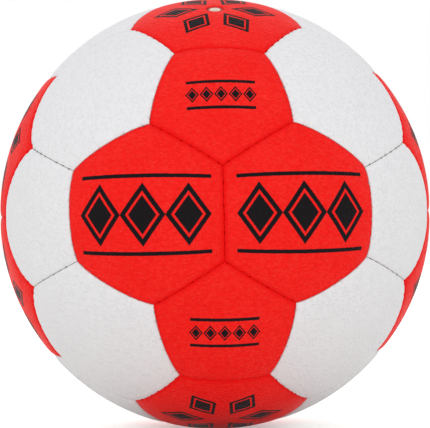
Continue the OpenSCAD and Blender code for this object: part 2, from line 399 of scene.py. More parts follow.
class RingStack:
    """A closed skin made of rings of points, each joined to the next.

    A ring's neighbour has as many points, three times as many or a third, or is a single pole.
    """

    def __init__(self) -> None:
        """Start with no rings."""
        self.rings: list[np.ndarray] = []
        self.values: dict[str, list[np.ndarray]] = {}

    def add(self, points: np.ndarray, **values: np.ndarray) -> None:
        """Add a ring.

        Args:
            points: its points, of shape (n, 3).
            values: for each named attribute, one value a point or one for them all.
        """
        self.rings.append(points)
        for name, value in values.items():
            self.values.setdefault(name, []).append(np.broadcast_to(value, len(points)))

    def faces(self, closed: bool = False) -> list[list[int]]:
        """List the faces between successive rings, which all turn the same way.

        Args:
            closed: whether the last ring is joined to the first.
        Returns:
            Vertex indices of each face.
        """
        starts = np.cumsum([0] + [len(r) for r in self.rings])
        pairs = list(zip(range(len(self.rings) - 1), range(1, len(self.rings))))
        if closed:
            pairs.append((len(self.rings) - 1, 0))
        found: list[list[int]] = []
        for a, b in pairs:
            na, nb = len(self.rings[a]), len(self.rings[b])
            columns = [
                starts[a] + i % na if first else starts[b] + i % nb for first, i in self._columns(na, nb)
            ]
            found += np.stack(columns, axis=1).tolist()
        return found

    @staticmethod
    def _columns(na: int, nb: int) -> list[tuple[bool, np.ndarray]]:
        """Name the corners of the faces between two rings, in turn.

        Args:
            na: points of the first ring.
            nb: points of the second.
        Returns:
            For each corner, whether it is on the first ring, and its place there on every face.
        """
        fewer, more = sorted((na, nb))
        i = np.arange(fewer if fewer > 1 else more)
        if na == 1:
            return [(True, i * 0), (False, i), (False, i + 1)]
        if nb == 1:
            return [(True, i), (False, i * 0), (True, i + 1)]
        if nb == 3 * na:
            return [(True, i)] + [(False, 3 * i + j) for j in range(4)] + [(True, i + 1)]
        if na == 3 * nb:
            return [(True, 3 * i), (False, i), (False, i + 1)] + [(True, 3 * i + j) for j in (3, 2, 1)]
        return [(True, i), (False, i), (False, i + 1), (True, i + 1)]

    def build(self, name: str, closed: bool = False) -> bpy.types.Object:
        """Make the mesh object, smooth shaded, with its attributes.

        Args:
            name: the object's name.
            closed: whether the last ring is joined to the first.
        Returns:
            The object, in the scene.
        """
        mesh = bpy.data.meshes.new(name)
        mesh.from_pydata(np.concatenate(self.rings).tolist(), [], self.faces(closed))
        for key, parts in self.values.items():
            layer = mesh.attributes.new(key, "FLOAT", "POINT")
            layer.data.foreach_set("value", np.concatenate(parts).astype(np.float32))
        mesh.polygons.foreach_set("use_smooth", np.ones(len(mesh.polygons), bool))
        mesh.update()
        obj = bpy.data.objects.new(name, mesh)
        bpy.context.scene.collection.objects.link(obj)
        return obj


@dataclass(frozen=True)
class PanelSkin:
    """Leather skin of one panel: crowned face, tight grooves, turned-in edge and stitch nicks.

    Rings of points make it. On the face they lie at insets_mm from the seam, and further in at
    near_shares and far_shares of the way from the first inset to the middle. hole_rings_mm are those
    round the valve hole, by their room to its rim and their drop below the crown. lip_share and
    bend_share place two rings down the turned-in edge, and under_share one on the underside. The
    attribute seam_mm is lip_mm on the first of them and inside_mm on all behind it.
    """

    ball_r: float = 87.5 * MM
    crown_rise: float = 0.12 * MM
    corner_angle_deg: float = 23.8
    skin_t: float = 1.2 * MM
    seam_gap: float = 0.04 * MM
    edge_depth: float = 4.8 * MM
    groove_depth: float = 0.42 * MM
    groove_reach: float = 0.62 * MM
    groove_power: float = 1.3
    soft_dip: float = 0.26 * MM
    soft_reach: float = 2.6 * MM
    pit_depth: float = 0.75 * MM
    pit_reach: float = 18 * MM
    pit_power: float = 4.0
    nick_depth: float = 0.55 * MM
    nick_open: float = 0.22 * MM
    nick_width: float = 0.55 * MM
    nick_reach: float = 0.6 * MM
    corner_power: float = 2.5
    valve_node: str = "top_front_hexagon"
    valve_hole_r: float = 3.5 * MM
    fine: int = 81
    hole_rings_mm: tuple[Span, ...] = ((0.0, 0.55), (0.05, 0.25), (0.2, 0.08), (0.5, 0.0))
    far_shares: tuple[float, ...] = (0.84, 0.68, 0.53)
    near_shares: tuple[float, ...] = (0.4, 0.29, 0.2, 0.12, 0.05)
    insets_mm: tuple[float, ...] = (3.0, 2.3, 1.75, 1.35, 1.05, 0.8, 0.6, 0.43, 0.3, 0.2, 0.12, 0.06)
    lip_share: float = 0.2
    bend_share: float = 0.6
    under_bow_share: float = 0.7
    under_share: float = 0.45
    # lip_mm and inside_mm lie below nought, so the leather lays painted shade on the turned-in edge
    lip_mm: float = -0.5
    inside_mm: float = -3.0

    @property
    def corner_r(self) -> float:
        """Radius of the crown over the corners, before the pits."""
        return self.ball_r - self.crown_rise

    def build(self, panel: Panel) -> bpy.types.Object:
        """Make a panel's mesh from rings that run from its middle over the edge and back underneath.

        Args:
            panel: the panel to make.
        Returns:
            The new object, with a UV map of flat panel coordinates.
        """
        bored = panel.name == self.valve_node
        stack = RingStack()
        mid, coarse = self.fine // 3, self.fine // 9
        if bored:
            for room, drop in self.hole_rings_mm:
                self._face_ring(panel, stack, self._polar(panel, 1.0, mid, room * MM), drop * MM)
        else:
            self._face_ring(panel, stack, panel.axis[None])
        for share in self.far_shares:
            self._face_ring(panel, stack, self._polar(panel, share, mid if bored else coarse))
        for share in self.near_shares:
            self._face_ring(panel, stack, self._polar(panel, share, mid))
        for inset in self.insets_mm:
            self._face_ring(panel, stack, self._inset(panel, inset * MM, self.fine, nicked=True))
        self._turned_edge(panel, stack, mid, bored)
        obj = stack.build(panel.name + "_skin", closed=bored)
        self._map_flat(obj, panel)
        return obj

    def _face_ring(self, panel: Panel, stack: RingStack, ring: np.ndarray, drop: float = 0.0) -> None:
        """Add a ring of the outer face, with the attributes seam_mm and nick.

        seam_mm holds the millimetres to the nearest seam, and nick how hard its stitches pull; the
        leather lays painted shade by both.

        Args:
            panel: the panel.
            stack: the rings so far.
            ring: directions of the ring's points.
            drop: how far the ring lies below the face.
        """
        distance, place = self._seam_places(panel, ring)
        near = np.clip(distance, 0, None)
        nick = (self._pull(panel, place) * np.exp(-near / self.nick_reach)).max(axis=1)
        height = self._height(panel, ring) - self._sunk(panel, ring, near, place) - drop
        stack.add(ring * height[:, None], seam_mm=near.min(axis=1) / MM, nick=nick)

    def _turned_edge(self, panel: Panel, stack: RingStack, mid: int, bored: bool) -> None:
        """Add the turned-in edge, its end, its inner face and the underside, back to the middle.

        The edge follows the seam's bow at the face and is straight at its end.

        Args:
            panel: the panel.
            stack: the rings so far.
            mid: points along each side.
            bored: whether the panel has the valve hole.
        """
        inside = {"seam_mm": self.inside_mm, "nick": 0.0}
        outer = self.seam_gap / 2
        inner = outer + self.skin_t
        top = np.linalg.norm(stack.rings[-1], axis=1)
        lip = (1 - self.lip_share) * top + self.lip_share * (self.corner_r - self.edge_depth)
        stack.add(self._inset(panel, outer, self.fine) * lip[:, None], seam_mm=self.lip_mm, nick=0.0)
        for inset, depth in ((outer, self.bend_share), (outer, 1.0), (inner, 1.0)):
            ring = self._inset(panel, inset, mid, bow_share=1 - depth)
            stack.add(ring * (self.corner_r - self.edge_depth * depth), **inside)
        corner = self._inset(panel, inner, mid, bow_share=self.under_bow_share)
        middle = self._polar(panel, 1.0, mid) if bored else panel.axis[None]
        part = unit((1 - self.under_share) * corner + self.under_share * panel.axis)
        for ring in (corner, part if bored else part[::3], middle):
            under = self._height(panel, ring) - self.skin_t - self._pits(panel, ring)
            stack.add(ring * under[:, None], **inside)

    def _normals(self, panel: Panel) -> np.ndarray:
        """Normals of the seams' great circles, towards the panel."""
        return unit(np.cross(panel.corners, np.roll(panel.corners, -1, axis=0)))

    def _sweeps(self, panel: Panel) -> np.ndarray:
        """Angle that each side spans."""
        return np.arccos((panel.corners * np.roll(panel.corners, -1, axis=0)).sum(axis=1))

    def _inset(self, panel: Panel, inset: float, count: int, bow_share: float = 1.0,
               nicked: bool = False) -> np.ndarray:
        """Directions along the outline drawn in by a distance.

        Each side is a small circle: its height over the seam's plane is the sine of the inset, and
        its ends are where the neighbouring small circles cross. The side then shifts outwards as its
        seam does, and gives way inwards at the stitches.

        Args:
            panel: the panel.
            inset: distance from the seam along the surface.
            count: points along each side.
            bow_share: how much of the seam's bow to apply.
            nicked: whether the stitches draw the edge in.
        Returns:
            Unit vectors of shape (sides * count, 3).
        """
        normal = self._normals(panel)
        before = np.roll(normal, 1, axis=0)
        s = math.sin(inset / self.corner_r)
        lean = (normal + before) * (s / (1 + (normal * before).sum(axis=1)))[:, None]
        out = unit(np.cross(before, normal))
        out *= np.sign(out @ panel.axis)[:, None]
        corner = lean + out * np.sqrt(1 - (lean**2).sum(axis=1))[:, None]
        following = np.roll(corner, -1, axis=0)
        e1 = unit(corner - normal * s)
        e2 = np.cross(normal, e1)
        sweep = np.arctan2((following * e2).sum(axis=1), (following * e1).sum(axis=1))
        angle = (sweep[:, None] * np.arange(count) / count)[..., None]
        circle = np.cos(angle) * e1[:, None] + np.sin(angle) * e2[:, None]
        p = (s * normal[:, None] + math.sqrt(1 - s * s) * circle).reshape(-1, 3)
        own = np.repeat(np.arange(len(normal)), count)
        rows = np.arange(len(p))
        distance, place = self._seam_places(panel, p)
        moved = -self._bowed(panel, place)[rows, own] * bow_share
        if bow_share == 1.0:
            moved -= self._swayed(panel, place, distance)[rows, own]
        p = unit(p + normal[own] * (moved / self.corner_r)[:, None])
        if nicked:
            pull = self._pull(panel, place) * np.exp(-np.clip(distance, 0, None) / self.nick_reach)
            p = unit(p + (pull * self.nick_open / self.corner_r) @ normal)
        return p

    def _polar(self, panel: Panel, share: float, count: int, room: float = 0.0) -> np.ndarray:
        """Directions a share of the way from the first inset to the middle.

        The middle is the panel's axis, or the rim of the valve hole with some room round it.

        Args:
            panel: the panel.
            share: 0 at the inset and 1 at the middle.
            count: points along each side.
            room: distance from the rim of the valve hole.
        Returns:
            Unit vectors of shape (sides * count, 3).
        """
        base = self._inset(panel, self.insets_mm[0] * MM, count)
        if panel.name != self.valve_node:
            return unit(base * (1 - share) + panel.axis * share)
        tangent = unit(base - panel.axis * (base @ panel.axis)[:, None])
        angle = (self.valve_hole_r + room) / self.ball_r
        rim = panel.axis * math.cos(angle) + tangent * math.sin(angle)
        return unit(base * (1 - share) + rim * share)

    def _seam_places(self, panel: Panel, p: np.ndarray) -> tuple[np.ndarray, np.ndarray]:
        """Place directions by the seams as they really run.

        Args:
            panel: the panel.
            p: unit vectors of shape (n, 3).
        Returns:
            The distance of each direction to each seam, and its place along it from 0 to 1.
        """
        normal = self._normals(panel)
        e2 = np.cross(normal, panel.corners)
        place = np.arctan2(p @ e2.T, p @ panel.corners.T) / self._sweeps(panel)
        straight = self.corner_r * np.arcsin(np.clip(p @ normal.T, -1, 1))
        bowed = straight + self._bowed(panel, place)
        return bowed + self._swayed(panel, place, bowed), place

    def _bowed(self, panel: Panel, place: np.ndarray) -> np.ndarray:
        """How far each seam bows outwards at a place: its bow times one minus tau squared."""
        bows = np.array([side.bow for side in panel.sides])
        return bows * np.clip(1 - (2 * place - 1) ** 2, 0, 1)

    def _swayed(self, panel: Panel, place: np.ndarray, distance: np.ndarray) -> np.ndarray:
        """How far the stitches draw each seam outwards, fading away from it."""
        sway = self._rows(panel, place, [side.sway for side in panel.sides])
        return sway * np.exp(-np.clip(distance, 0, None) / self.nick_reach)

    def _pull(self, panel: Panel, place: np.ndarray) -> np.ndarray:
        """How hard the stitches pull at places along the seams."""
        return self._rows(panel, place, [side.force for side in panel.sides])

    def _rows(self, panel: Panel, place: np.ndarray, strengths: list[np.ndarray]) -> np.ndarray:
        """Add up a row of bells along each seam, one at each stitch.

        Args:
            panel: the panel.
            place: places along its seams, of shape (n, sides).
            strengths: each side's heights of its bells.
        Returns:
            The sums, of the shape of place.
        """
        reach = self._sweeps(panel) * self.corner_r / self.nick_width
        bells = [
            (strength * bell((place[:, k, None] - side.at) * reach[k])).sum(axis=1)
            for k, (side, strength) in enumerate(zip(panel.sides, strengths))
        ]
        return np.stack(bells, axis=1)

    def _height(self, panel: Panel, p: np.ndarray) -> np.ndarray:
        """Distance from the ball's centre to the crown: a sphere a little smaller than the ball.

        The sphere's centre is shifted out along the panel's axis, so that the crown lies at ball_r over
        the middle and at corner_r over the corners.

        Args:
            panel: the panel.
            p: unit vectors of shape (n, 3).
        Returns:
            The distances, of shape (n,).
        """
        cosine = math.cos(math.radians(self.corner_angle_deg))
        shift = (self.ball_r**2 - self.corner_r**2) / (2 * (self.ball_r - self.corner_r * cosine))
        along = p @ panel.axis
        return shift * along + np.sqrt((self.ball_r - shift) ** 2 - shift**2 * (1 - along**2))

    def _pits(self, panel: Panel, p: np.ndarray) -> np.ndarray:
        """Depth of the hollows where three panels meet: (1 - distance / reach) to a power.

        Args:
            panel: the panel.
            p: unit vectors of shape (n, 3).
        Returns:
            The depths, of shape (n,).
        """
        distance = self.corner_r * np.arccos(np.clip(p @ panel.corners.T, -1, 1))
        fading = np.clip(1 - distance / self.pit_reach, 0, 1) ** self.pit_power
        return self.pit_depth * fading.sum(axis=1)

    def _sunk(self, panel: Panel, p: np.ndarray, near: np.ndarray, place: np.ndarray) -> np.ndarray:
        """How far the face lies below the crown: groove, nicks and soft dip of each seam, and the pits.

        A groove is e to the minus (distance / reach) to a power, and a corner's grooves join by the
        root of the sum of their powers.

        Args:
            panel: the panel.
            p: unit vectors of shape (n, 3).
            near: their distances to the seams, none below nought.
            place: their places along the seams.
        Returns:
            The depths, of shape (n,).
        """
        groove = self.groove_depth * np.exp(-((near / self.groove_reach) ** self.groove_power))
        nick = self.nick_depth * self._pull(panel, place) * np.exp(-near / self.nick_reach)
        depth = groove + nick + self.soft_dip * bell(near / self.soft_reach)
        return (depth**self.corner_power).sum(axis=1) ** (1 / self.corner_power) + self._pits(panel, p)

    def _map_flat(self, obj: bpy.types.Object, panel: Panel) -> None:
        """Give the mesh a UV map as if the panel lay flat: 100 mm span the map, centred on the axis.

        A point goes straight out from the ball's centre onto the plane that touches the ball there.

        Args:
            obj: the panel's skin.
            panel: the panel.
        """
        mesh = obj.data
        co = np.empty(len(mesh.vertices) * 3)
        mesh.vertices.foreach_get("co", co)
        co = co.reshape(-1, 3)
        flat = co / (co @ panel.axis)[:, None] * self.ball_r
        uv = 0.5 + np.stack([flat @ panel.across, flat @ panel.upward], axis=1) / UV_SPAN
        loops = np.empty(len(mesh.loops), np.int32)
        mesh.loops.foreach_get("vertex_index", loops)
        layer = mesh.uv_layers.new(name="flat_panel")
        layer.data.foreach_set("uv", uv[loops].astype(np.float32).ravel())


class Graph:
    """Short calls for building a node tree."""

    def __init__(self, tree: bpy.types.NodeTree) -> None:
        """Wrap a node tree."""
        self.tree = tree

    def add(self, kind: str, **settings: object) -> bpy.types.Node:
        """Add a node.

        Args:
            kind: its type, without the leading ShaderNode.
            settings: its properties by name.
        Returns:
            The node.
        """
        node = self.tree.nodes.new("ShaderNode" + kind)
        for key, value in settings.items():
            setattr(node, key, value)
        return node

    def put(self, socket: bpy.types.NodeSocket, value: object) -> None:
        """Link another socket into a socket, or set its value.

        Args:
            socket: the input.
            value: a socket to link, a value to set, or None to leave the input alone.
        """
        if isinstance(value, bpy.types.NodeSocket):
            self.tree.links.new(value, socket)
        elif value is not None:
            socket.default_value = value

    def math(self, operation: str, *values: object, clamp: bool = False) -> bpy.types.NodeSocket:
        """Add a Math node.

        Args:
            operation: what it works out.
            values: sockets or numbers for its inputs.
            clamp: whether to keep the result between nought and one.
        Returns:
            Its result.
        """
        node = self.add("Math", operation=operation, use_clamp=clamp)
        for socket, value in zip(node.inputs, values):
            self.put(socket, value)
        return node.outputs[0]

    def vector(self, operation: str, a: object, b: object = None,
               scale: object = None) -> bpy.types.NodeSocket:
        """Add a Vector Math node.

        Args:
            operation: what it works out.
            a: its first vector.
            b: its second vector, where it takes one.
            scale: its scale, where it takes one.
        Returns:
            Its result.
        """
        node = self.add("VectorMath", operation=operation)
        self.put(node.inputs[0], a)
        self.put(node.inputs[1], b)
        if scale is not None:
            self.put(node.inputs["Scale"], scale)
        return node.outputs[0]

    def fall(self, value: object, start: object, end: object, low: object = 0.0,
             high: object = 1.0) -> bpy.types.NodeSocket:
        """Map a value smoothly from the range start to end onto low to high.

        Args:
            value: the value to map.
            start: where the range starts.
            end: where it ends.
            low: the result at its start.
            high: the result at its end.
        Returns:
            The mapped value.
        """
        node = self.add("MapRange", interpolation_type="SMOOTHSTEP")
        for socket, given in zip(node.inputs, (value, start, end, low, high)):
            self.put(socket, given)
        return node.outputs[0]

    def mix(self, factor: object, a: object, b: object) -> bpy.types.NodeSocket:
        """Mix two colours.

        Args:
            factor: share of the second colour.
            a: the first colour.
            b: the second colour.
        Returns:
            The mixed colour.
        """
        node = self.add("Mix", data_type="RGBA")
        self.put(node.inputs[0], factor)
        self.put(node.inputs[6], a)
        self.put(node.inputs[7], b)
        return node.outputs[2]

    def noise(self, vector: object, scale: float, detail: float = 2.0,
              roughness: float = 0.5) -> bpy.types.Node:
        """Add a Noise Texture.

        Args:
            vector: where to read it.
            scale: its waves to a unit of the vector.
            detail: how many finer layers it adds.
            roughness: how strong they are.
        Returns:
            The node.
        """
        node = self.add("TexNoise")
        self.put(node.inputs["Vector"], vector)
        self.put(node.inputs["Scale"], scale)
        self.put(node.inputs["Detail"], detail)
        self.put(node.inputs["Roughness"], roughness)
        return node

    def cells(self, vector: object, scale: object, feature: str = "F1") -> bpy.types.NodeSocket:
        """Add a Voronoi Texture.

        Args:
            vector: where to read it.
            scale: its cells to a unit of the vector.
            feature: which distance it measures.
        Returns:
            The distance.
        """
        node = self.add("TexVoronoi", feature=feature)
        self.put(node.inputs["Vector"], vector)
        self.put(node.inputs["Scale"], scale)
        return node.outputs["Distance"]

    def group(self, tree: bpy.types.NodeTree, **values: object) -> bpy.types.Node:
        """Place a node group.

        Args:
            tree: the group.
            values: sockets or values for its inputs by name, with _ for a space.
        Returns:
            The node.
        """
        node = self.add("Group")
        node.node_tree = tree
        for key, value in values.items():
            self.put(node.inputs[key.replace("_", " ")], value)
        return node

    def relief(self, shader: bpy.types.Node, height: object, strength: float, depth: float) -> None:
        """Add a Bump node on the way to the shader's normal.

        Args:
            shader: the Principled BSDF.
            height: the height's socket.
            strength: how strongly the relief shows.
            depth: how far a height of one stands out.
        """
        bump = self.add("Bump")
        self.put(bump.inputs["Strength"], strength)
        self.put(bump.inputs["Distance"], depth)
        self.put(bump.inputs["Height"], height)
        self.put(shader.inputs["Normal"], bump.outputs[0])


def new_group(name: str, inputs: dict[str, str], outputs: dict[str, str]) -> tuple[Graph, dict, dict]:
    """Make an empty shader node group.

    Args:
        name: the group's name.
        inputs: socket types by name: Float, Vector or Color.
        outputs: socket types by name.
    Returns:
        The graph to build in, the sockets that bring the inputs, and the sockets that take the outputs.
    """
    tree = bpy.data.node_groups.new(name, "ShaderNodeTree")
    for key, kind in inputs.items():
        tree.interface.new_socket(key, in_out="INPUT", socket_type="NodeSocket" + kind)
    for key, kind in outputs.items():
        tree.interface.new_socket(key, in_out="OUTPUT", socket_type="NodeSocket" + kind)
    start = tree.nodes.new("NodeGroupInput")
    end = tree.nodes.new("NodeGroupOutput")
    return Graph(tree), {k: start.outputs[k] for k in inputs}, {k: end.inputs[k] for k in outputs}


def new_material(name: str) -> tuple[bpy.types.Material, Graph, bpy.types.Node]:
    """Make a material with nodes.

    Args:
        name: the material's name.
    Returns:
        The material, its graph and its Principled BSDF.
    """
    material = bpy.data.materials.new(name)
    material.use_nodes = True
    return material, Graph(material.node_tree), material.node_tree.nodes["Principled BSDF"]


@dataclass(frozen=True)
class Grain:
    """Leather grain: round pebbles in wandering cells, with creases between them and a fine tooth.

    Scales are a noise's waves to the metre. A pair of numbers is the range of a pattern over which
    its mask goes from nought to one.
    """

    wander_scale: float = 420.0
    wander: float = 1.1 * MM
    pebble: Span = (0.62, 0.1)
    crease: Span = (0.16, 0.0)
    glint: Span = (0.0, 0.8)
    glint_patch_scale: float = 760.0
    painted_light_patches: Span = (0.36, 0.64)
    tooth_scale: float = 3200.0
    tooth_share: float = 0.35
    smear_scale: float = 1100.0
    smear_stretch: Color = (0.5, 0.5, 1.0)
    smear: Span = (0.32, 0.68)

    def group(self) -> bpy.types.NodeTree:
        """Build the node group.

        Returns:
            The group. Its pebble-top mask, in patches, carries a painted highlight; its Crease the lines
            between pebbles, where painted shade goes with the grain's darker tone; and its Streak short
            level smears in the coating.
        """
        g, i, o = new_group(
            "leather_grain", {"Vector": "Vector", "Cells": "Float"},
            {"Height": "Float", "Tip": "Float", "Crease": "Float", "Streak": "Float"},
        )
        drift = g.noise(i["Vector"], self.wander_scale).outputs["Color"]
        centred = g.vector("SUBTRACT", drift, (0.5, 0.5, 0.5))
        vector = g.vector("ADD", i["Vector"], g.vector("SCALE", centred, scale=self.wander))
        pebble = g.fall(g.cells(vector, i["Cells"]), *self.pebble)
        # patches where the pebbles' tops get a painted highlight
        painted_light_patches = g.fall(g.noise(i["Vector"], self.glint_patch_scale).outputs["Fac"], *self.painted_light_patches)
        tooth = g.noise(i["Vector"], self.tooth_scale, detail=3.0).outputs["Fac"]
        drawn = g.vector("MULTIPLY", i["Vector"], self.smear_stretch)
        smear = g.noise(drawn, self.smear_scale, roughness=0.6).outputs["Fac"]
        g.put(o["Height"], g.math("ADD", pebble, g.math("MULTIPLY", tooth, self.tooth_share)))
        g.put(o["Tip"], g.math("MULTIPLY", g.fall(pebble, *self.glint), painted_light_patches))
        # creases between the pebbles, where the leather lays painted shade
        g.put(o["Crease"], g.fall(g.cells(vector, i["Cells"], "DISTANCE_TO_EDGE"), *self.crease))
        g.put(o["Streak"], g.fall(smear, *self.smear))
        return g.tree


@dataclass(frozen=True)
class Weave:
    """Plain weave in space: threads in turn over and under, from the product of sines along the axes."""

    over: Span = (-0.6, 0.6)
    fuzz_scale: float = 2500.0
    fuzz_share: float = 0.4

    def group(self) -> bpy.types.NodeTree:
        """Build the node group.

        Returns:
            The group.
        """
        g, i, o = new_group("plain_weave", {"Vector": "Vector", "Pitch": "Float"}, {"Height": "Float"})
        split = g.add("SeparateXYZ")
        waves = g.math("DIVIDE", math.pi, i["Pitch"])
        g.put(split.inputs[0], g.vector("SCALE", i["Vector"], scale=waves))
        x, y, z = (g.math("SINE", s) for s in split.outputs)
        over = g.math("MULTIPLY", g.math("MULTIPLY", x, y), z)
        noise = g.noise(i["Vector"], self.fuzz_scale, detail=3.0).outputs["Fac"]
        fuzz = g.math("MULTIPLY", noise, self.fuzz_share)
        g.put(o["Height"], g.math("ADD", g.fall(over, *self.over), fuzz))
        return g.tree


@dataclass(frozen=True)
class Lozenge:
    """Ink of one lozenge with an inlaid line.

    The measure |u| / half width + |v| / half height is one on its outline. Each pair of numbers is
    the range of that measure over which an edge fades.
    """

    outline: Span = (1.02, 0.98)
    line_outside: Span = (0.76, 0.73)
    line_inside: Span = (0.63, 0.60)

    def group(self) -> bpy.types.NodeTree:
        """Build the node group.

        Returns:
            The group.
        """
        g, i, o = new_group(
            "lozenge", {"U": "Float", "V": "Float", "Half width": "Float", "Half height": "Float"},
            {"Ink": "Float"},
        )
        across = g.math("DIVIDE", g.math("ABSOLUTE", i["U"]), i["Half width"])
        measure = g.math("ADD", across, g.math("DIVIDE", g.math("ABSOLUTE", i["V"]), i["Half height"]))
        outside, inside = g.fall(measure, *self.line_outside), g.fall(measure, *self.line_inside)
        line = g.math("SUBTRACT", outside, inside)
        g.put(o["Ink"], g.math("SUBTRACT", g.fall(measure, *self.outline), line, clamp=True))
        return g.tree


@dataclass(frozen=True)
class PrintGround:
    """The flat panel map in millimetres from the panel's middle, with a print's slight tremor."""

    tremor: float = 0.35
    tremor_scale: float = 160.0

    def axes(self, g: Graph, vector: object) -> tuple[bpy.types.NodeSocket, bpy.types.NodeSocket]:
        """Split the map into millimetres to the right and up.

        Args:
            g: the graph to build in.
            vector: the map's socket.
        Returns:
            The sockets of the two.
        """
        noise = g.noise(vector, self.tremor_scale).outputs["Color"]
        tremor = g.vector("SUBTRACT", noise, (0.5, 0.5, 0.5))
        centred = g.vector("SUBTRACT", vector, (0.5, 0.5, 0.0))
        millimetres = g.vector("SCALE", centred, scale=UV_SPAN / MM)
        moved = g.vector("ADD", millimetres, g.vector("SCALE", tremor, scale=self.tremor))
        split = g.add("SeparateXYZ")
        g.put(split.inputs[0], moved)
        return split.outputs["X"], split.outputs["Y"]


@dataclass(frozen=True)
class RuledRow:
    """A level row of lozenges between two rules, with its sizes in mm.

    each_side is how many lozenges stand on either side of the middle one.
    """

    name: str
    pitch: float
    each_side: float
    half_width: float
    half_height: float
    rule_half_length: float
    rule_height: float
    rule_half_width: float
    fade: float = 0.1
    ground: PrintGround = PrintGround()

    def group(self, lozenge: bpy.types.NodeTree) -> bpy.types.NodeTree:
        """Build the print's node group: the way along the row is folded into one lozenge.

        Args:
            lozenge: the group of a single lozenge.
        Returns:
            The group.
        """
        g, i, o = new_group(self.name, {"Vector": "Vector"}, {"Ink": "Float"})
        u, v = self.ground.axes(g, i["Vector"])
        steps = g.math("ROUND", g.math("DIVIDE", u, self.pitch))
        kept = g.math("MINIMUM", g.math("MAXIMUM", steps, -self.each_side), self.each_side)
        local = g.math("SUBTRACT", u, g.math("MULTIPLY", kept, self.pitch))
        row = g.group(lozenge, U=local, V=v, Half_width=self.half_width, Half_height=self.half_height)
        g.put(o["Ink"], g.math("MAXIMUM", row.outputs[0], self._rules(g, u, v)))
        return g.tree

    def _rules(self, g: Graph, u: object, v: object) -> bpy.types.NodeSocket:
        """Ink of the two rules, one above the row and one below it.

        Args:
            g: the graph to build in.
            u: millimetres to the right.
            v: millimetres up.
        Returns:
            The ink's socket.
        """
        length, width = self.rule_half_length, self.rule_half_width
        along = g.fall(g.math("ABSOLUTE", u), length + self.fade, length - self.fade)
        away = g.math("ABSOLUTE", g.math("SUBTRACT", g.math("ABSOLUTE", v), self.rule_height))
        return g.math("MULTIPLY", along, g.fall(away, width + self.fade, width - self.fade))


@dataclass(frozen=True)
class LozengeStar:
    """Lozenges that point outwards round the panel's middle, with their sizes in mm."""

    name: str
    count: int
    out: float
    half_length: float
    half_width: float
    ground: PrintGround = PrintGround()

    def group(self, lozenge: bpy.types.NodeTree) -> bpy.types.NodeTree:
        """Build the print's node group: the angle is folded into one lozenge's share of the turn.

        Args:
            lozenge: the group of a single lozenge.
        Returns:
            The group.
        """
        g, i, o = new_group(self.name, {"Vector": "Vector"}, {"Ink": "Float"})
        u, v = self.ground.axes(g, i["Vector"])
        share = 2 * math.pi / self.count
        turn = g.math("ARCTAN2", v, u)
        whole = g.math("MULTIPLY", g.math("ROUND", g.math("DIVIDE", turn, share)), share)
        folded = g.math("SUBTRACT", turn, whole)
        out = g.math("SQRT", g.math("ADD", g.math("MULTIPLY", u, u), g.math("MULTIPLY", v, v)))
        along = g.math("SUBTRACT", g.math("MULTIPLY", out, g.math("COSINE", folded)), self.out)
        aside = g.math("MULTIPLY", out, g.math("SINE", folded))
        size = {"Half_width": self.half_length, "Half_height": self.half_width}
        g.put(o["Ink"], g.group(lozenge, U=along, V=aside, **size).outputs[0])
        return g.tree


PRINTS = {
    Motif.LOZENGE_ROW: RuledRow(
        "print_lozenge_row", pitch=18.6, each_side=1.0, half_width=9.4, half_height=12.4,
        rule_half_length=28.0, rule_height=15.2, rule_half_width=0.8,
    ),
    Motif.LOZENGE_STAR: LozengeStar(
        "print_lozenge_star", count=6, out=16.0, half_length=9.6, half_width=6.2,
    ),
    Motif.LOZENGE_BAND: RuledRow(
        "print_lozenge_band", pitch=5.6, each_side=2.0, half_width=2.7, half_height=3.6,
        rule_half_length=13.5, rule_height=6.0, rule_half_width=0.7,
    ),
}


class Effects:
    """Node groups that several materials share, each made once."""

    def __init__(self) -> None:
        """Make every group."""
        self.grain = Grain().group()
        self.weave = Weave().group()
        lozenge = Lozenge().group()
        self.prints = {motif: design.group(lozenge) for motif, design in PRINTS.items()}


